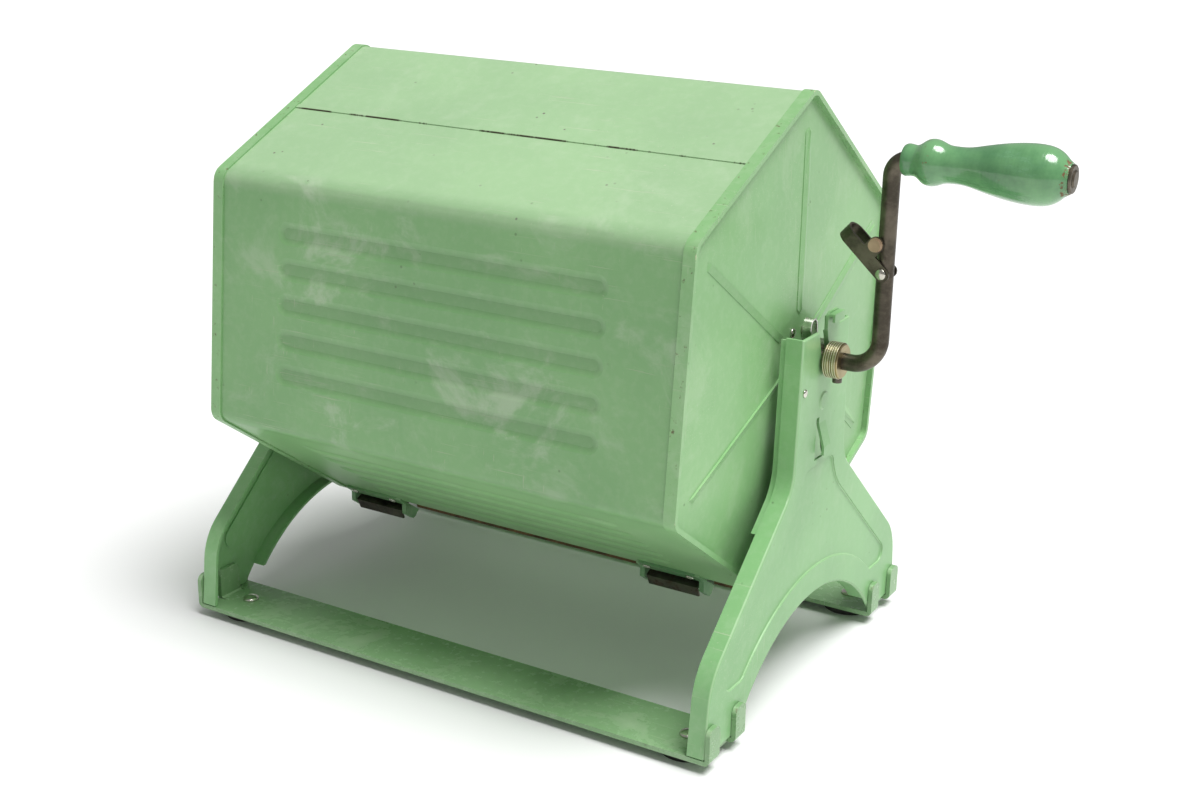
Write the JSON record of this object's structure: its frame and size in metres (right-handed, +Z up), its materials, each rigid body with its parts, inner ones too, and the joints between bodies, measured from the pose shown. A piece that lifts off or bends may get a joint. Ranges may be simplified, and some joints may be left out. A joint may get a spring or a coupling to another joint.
{
  "type": "hand-cranked drum washer",
  "caption": "Hand-cranked six-sided sheet-steel drum for tumbling laundry, carried on a pressed-steel stand with slotted bearings, a bent-rod crank and a hooked-on lid.",
  "frame": {"origin": "Centre of the bottom of the whole machine's box, on the surface under the rubber feet.", "axes": "+X along the shaft towards the crank, +Y to the back of the machine, +Z up."},
  "size_m": [0.6302, 0.336, 0.4338],
  "materials": {
    "drum_paint": "worn semi-gloss green enamel",
    "frame_paint": "worn semi-gloss green enamel",
    "bar_paint": "glossy deep green enamel",
    "rubber": "matte",
    "gasket": "aged matte",
    "worn_steel": "oxidised satin",
    "turned_steel": "turned, slightly yellowed",
    "bright_steel": "bright",
    "grip_paint": "glossy green paint on turned wood",
    "button": "satin"
  },
  "bodies": {
    "stand": {"crank_side_frame": "frame_paint", "far_side_frame": "frame_paint", "crank_side_bearing_bracket": "frame_paint", "far_side_bearing_bracket": "frame_paint", "crank_side_bearing_clip": "bright_steel", "far_side_bearing_clip": "bright_steel", "bracket_rivets": "bright_steel", "front_base_bar": "bar_paint", "rear_base_bar": "bar_paint", "rubber_feet": "rubber", "foot_rivets": "bright_steel"},
    "drum": {"drum_shell": "drum_paint", "crank_side_end_plate": "drum_paint", "far_side_end_plate": "drum_paint", "crank_side_hub_flange": "worn_steel", "far_side_hub_flange": "worn_steel", "hub_rivets": "bright_steel", "crank_rod": "worn_steel", "far_axle": "worn_steel", "crank_side_collar": "turned_steel", "far_side_collar": "turned_steel", "collar_set_screws": "bright_steel", "lid_loops": "drum_paint", "loop_rivets": "bright_steel", "latch_pivot_rivet": "bright_steel", "grip_washer": "worn_steel", "catch_pins": "bright_steel"},
    "grip": {"grip": "grip_paint"},
    "crank_latch": {"crank_latch": "worn_steel", "latch_button": "button"},
    "lid": {"lid": "drum_paint", "lid_gasket": "gasket", "lid_lugs": "worn_steel", "lug_rivets": "bright_steel", "lid_edge_strip": "worn_steel"},
    "crank_side_catch": {"crank_side_lid_catch": "worn_steel"},
    "far_side_catch": {"far_side_lid_catch": "worn_steel"}
  },
  "joints": [
    {"name": "drum_turn", "type": "hinge", "parent": "stand", "child": "drum", "pos_m": [-0.07285, 0, 0.251], "axis": [1, 0, 0], "continuous": true},
    {"name": "grip_spin", "type": "hinge", "parent": "drum", "child": "grip", "pos_m": [0.2, 0, 0.397], "axis": [1, 0, 0], "continuous": true},
    {"name": "latch_swing", "type": "hinge", "parent": "drum", "child": "crank_latch", "pos_m": [0.19215, 0, 0.319], "axis": [0, 1, 0], "range_deg": [-114, 30]},
    {"name": "lid_swing", "type": "hinge", "parent": "drum", "child": "lid", "pos_m": [-0.07285, -0.01515, 0.06309], "axis": [1, 0, 0], "range_deg": [-38, 0]},
    {"name": "crank_side_catch_turn", "type": "hinge", "parent": "drum", "child": "crank_side_catch", "pos_m": [0.03215, 0.13816, 0.139], "axis": [0, 0.4163, -0.9092], "range_deg": [0, 90]},
    {"name": "far_side_catch_turn", "type": "hinge", "parent": "drum", "child": "far_side_catch", "pos_m": [-0.17785, 0.13816, 0.139], "axis": [0, 0.4163, -0.9092], "range_deg": [0, 90]}
  ]
}
